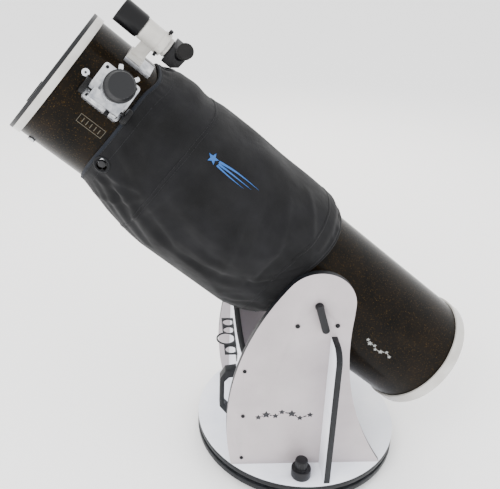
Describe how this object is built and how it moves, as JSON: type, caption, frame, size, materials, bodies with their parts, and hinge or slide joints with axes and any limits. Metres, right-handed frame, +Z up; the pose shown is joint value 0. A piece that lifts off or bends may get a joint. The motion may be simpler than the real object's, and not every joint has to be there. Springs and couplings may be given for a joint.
{
  "type": "dobsonian telescope",
  "caption": "Collapsible strut-tube reflecting telescope on a rocker box that turns on a round ground board, with a cloth light shroud, side focuser and finder.",
  "frame": {"origin": "point on the floor under the azimuth pivot", "axes": "+Z up; the tube points towards -X and up at 40 degrees; -Y is the side with the focuser, the near side board and the azimuth knob"},
  "size_m": [1.32, 0.636, 1.4167],
  "materials": {
    "melamine_board": "white melamine-faced board",
    "board_panel": "white melamine-faced board",
    "black_rubber": "moulded rubber",
    "nylon": "natural nylon",
    "zinc_steel": "zinc-plated steel",
    "black_screw": "black oxide steel",
    "black_plastic": "moulded black plastic",
    "handle_steel": "black powder-coated steel",
    "tube_enamel": "gloss black enamel with metallic fleck",
    "white_enamel": "gloss white",
    "hoop_casting": "black painted casting",
    "cell_casting": "black painted casting",
    "primary_glass": "polished mirror coating",
    "secondary_glass": "polished mirror coating",
    "carrier_plate": "plain sheet",
    "spring_steel": "spring wire",
    "chrome_screw": "bright chrome",
    "shroud_cloth": "black woven nylon",
    "strut_alloy": "polished rod",
    "focuser_alloy": "satin silver anodised",
    "drawtube_chrome": "bright",
    "black_anodised": "black anodised",
    "cap_plastic": "moulded black plastic",
    "finder_white": "white enamel",
    "lens_glass": "coated glass"
  },
  "bodies": {
    "ground": {"ground_board": "board_panel", "feet": "black_rubber", "bearing_pads": "nylon", "pivot_bolt": "zinc_steel"},
    "rocker": {"base_disc": "board_panel", "side_board_near": "melamine_board", "side_board_far": "melamine_board", "front_panel": "board_panel", "braces": "board_panel", "carry_handle": "handle_steel", "eyepiece_rack": "handle_steel", "board_screws": "black_screw", "cradle_rollers": "nylon", "roller_bolts": "black_screw"},
    "azimuth_brake": {"azimuth_knob": "black_plastic"},
    "lever_near": {"tension_lever_near": "black_plastic"},
    "lever_far": {"tension_lever_far": "black_plastic"},
    "lower_ota": {"lower_tube": "tube_enamel", "rear_ring": "white_enamel", "strut_guide_ring": "hoop_casting", "trunnions": "black_plastic", "mirror_cell": "cell_casting", "primary_mirror": "primary_glass", "mirror_carrier": "carrier_plate", "collimation_springs": "spring_steel", "lock_screws": "zinc_steel", "shroud": "shroud_cloth"},
    "collimator_1": {"collimation_knob_1": "chrome_screw"},
    "collimator_2": {"collimation_knob_2": "chrome_screw"},
    "collimator_3": {"collimation_knob_3": "chrome_screw"},
    "clamp_1": {"clamp_knob_1": "black_plastic"},
    "clamp_2": {"clamp_knob_2": "black_plastic"},
    "clamp_3": {"clamp_knob_3": "black_plastic"},
    "upper_cage": {"upper_tube": "tube_enamel", "front_ring": "white_enamel", "cage_ring": "hoop_casting", "struts": "strut_alloy", "strut_caps": "black_plastic", "spider": "cell_casting", "spider_nuts": "chrome_screw", "secondary_holder": "cell_casting", "secondary_mirror": "secondary_glass", "focuser_base": "focuser_alloy", "finder_shoe": "focuser_alloy"},
    "focus_knobs": {"focus_shaft": "black_anodised"},
    "focus_lock": {"focus_lock_screw": "black_screw"},
    "focuser_draw": {"drawtube": "drawtube_chrome", "eyepiece_adapter": "black_anodised"},
    "eyepiece_screw_1": {"adapter_screw_1": "chrome_screw"},
    "eyepiece_screw_2": {"adapter_screw_2": "chrome_screw"},
    "eyepiece_cap": {"focuser_cap": "cap_plastic"},
    "finder": {"finder_bracket": "finder_white", "finder_tube": "finder_white", "dew_shield": "black_anodised", "finder_lens": "lens_glass", "finder_diagonal": "black_anodised", "finder_eyepiece": "black_rubber", "finder_screws": "black_screw"},
    "front_cap": {"dust_cap": "cap_plastic"},
    "aperture_cap": {"cap_plug": "cap_plastic"}
  },
  "joints": [
    {"name": "azimuth_turn", "type": "hinge", "parent": "ground", "child": "rocker", "pos_m": [0, 0, 0.073], "axis": [0, 0, 1], "continuous": true},
    {"name": "altitude_tilt", "type": "hinge", "parent": "rocker", "child": "lower_ota", "pos_m": [0, 0, 0.632], "axis": [0, 1, 0], "range_deg": [-30, 50]},
    {"name": "azimuth_brake_turn", "type": "hinge", "parent": "rocker", "child": "azimuth_brake", "pos_m": [-0.022, -0.272, 0.1], "axis": [0, 0, 1], "range_deg": [0, 360]},
    {"name": "tension_near_turn", "type": "hinge", "parent": "rocker", "child": "lever_near", "pos_m": [0, -0.235, 0.632], "axis": [0, 1, 0], "range_deg": [-90, 45]},
    {"name": "tension_far_turn", "type": "hinge", "parent": "rocker", "child": "lever_far", "pos_m": [0, 0.235, 0.632], "axis": [0, 1, 0], "range_deg": [-90, 45]},
    {"name": "collimation_turn_1", "type": "hinge", "parent": "lower_ota", "child": "collimator_1", "pos_m": [0.40459, -0.09526, 0.36431], "axis": [-0.766, 0, 0.6428], "range_deg": [-360, 360]},
    {"name": "collimation_turn_2", "type": "hinge", "parent": "lower_ota", "child": "collimator_2", "pos_m": [0.40459, 0.09526, 0.36431], "axis": [-0.766, 0, 0.6428], "range_deg": [-360, 360]},
    {"name": "collimation_turn_3", "type": "hinge", "parent": "lower_ota", "child": "collimator_3", "pos_m": [0.29853, 0, 0.23791], "axis": [-0.766, 0, 0.6428], "range_deg": [-360, 360]},
    {"name": "clamp_turn_1", "type": "hinge", "parent": "lower_ota", "child": "clamp_1", "pos_m": [-0.16434, -0.17854, 0.68507], "axis": [-0.2198, -0.9397, -0.262], "range_deg": [0, 720]},
    {"name": "clamp_turn_2", "type": "hinge", "parent": "lower_ota", "child": "clamp_2", "pos_m": [-0.00229, 0.03299, 0.87818], "axis": [0.633, 0.1736, 0.7544], "range_deg": [0, 720]},
    {"name": "clamp_turn_3", "type": "hinge", "parent": "lower_ota", "child": "clamp_3", "pos_m": [-0.20107, 0.14555, 0.64129], "axis": [-0.4132, 0.766, -0.4924], "range_deg": [0, 720]},
    {"name": "tube_collapse", "type": "slide", "parent": "lower_ota", "child": "upper_cage", "axis": [-0.766, 0, 0.6428], "range_m": [-0.43, 0], "deforming": ["shroud"]},
    {"name": "focus_travel", "type": "slide", "parent": "upper_cage", "child": "focuser_draw", "axis": [0.3262, -0.8616, 0.3888], "range_m": [-0.0115, 0.025]},
    {"name": "focus_turn", "type": "hinge", "parent": "upper_cage", "child": "focus_knobs", "pos_m": [-0.54797, -0.19252, 1.19242], "axis": [-0.766, 0, 0.6428], "range_deg": [-480, 222]},
    {"name": "focus_lock_turn", "type": "hinge", "parent": "upper_cage", "child": "focus_lock", "pos_m": [-0.54454, -0.20201, 1.1685], "axis": [0.5538, 0.5075, 0.66], "range_deg": [-360, 0]},
    {"name": "eyepiece_screw_turn_1", "type": "hinge", "parent": "focuser_draw", "child": "eyepiece_screw_1", "pos_m": [-0.50714, -0.20079, 1.27614], "axis": [0.1294, 0.4481, 0.8846], "range_deg": [0, 720]},
    {"name": "eyepiece_screw_turn_2", "type": "hinge", "parent": "focuser_draw", "child": "eyepiece_screw_2", "pos_m": [-0.47194, -0.2012, 1.24569], "axis": [0.8627, 0.4395, 0.2502], "range_deg": [0, 720]},
    {"name": "eyepiece_cap_pull", "type": "slide", "parent": "focuser_draw", "child": "eyepiece_cap", "axis": [0.3262, -0.8616, 0.3888], "range_m": [0, 0.06]},
    {"name": "finder_slide", "type": "slide", "parent": "upper_cage", "child": "finder", "axis": [-0.766, 0, 0.6428], "range_m": [0, 0.05]},
    {"name": "front_cap_pull", "type": "slide", "parent": "upper_cage", "child": "front_cap", "axis": [-0.766, 0, 0.6428], "range_m": [0, 0.08]},
    {"name": "aperture_cap_pull", "type": "slide", "parent": "front_cap", "child": "aperture_cap", "axis": [-0.766, 0, 0.6428], "range_m": [0, 0.03]}
  ],
  "couplings": [
    {"joint": "focus_turn", "follows": "focus_travel", "rad_per_m": -333.33}
  ]
}
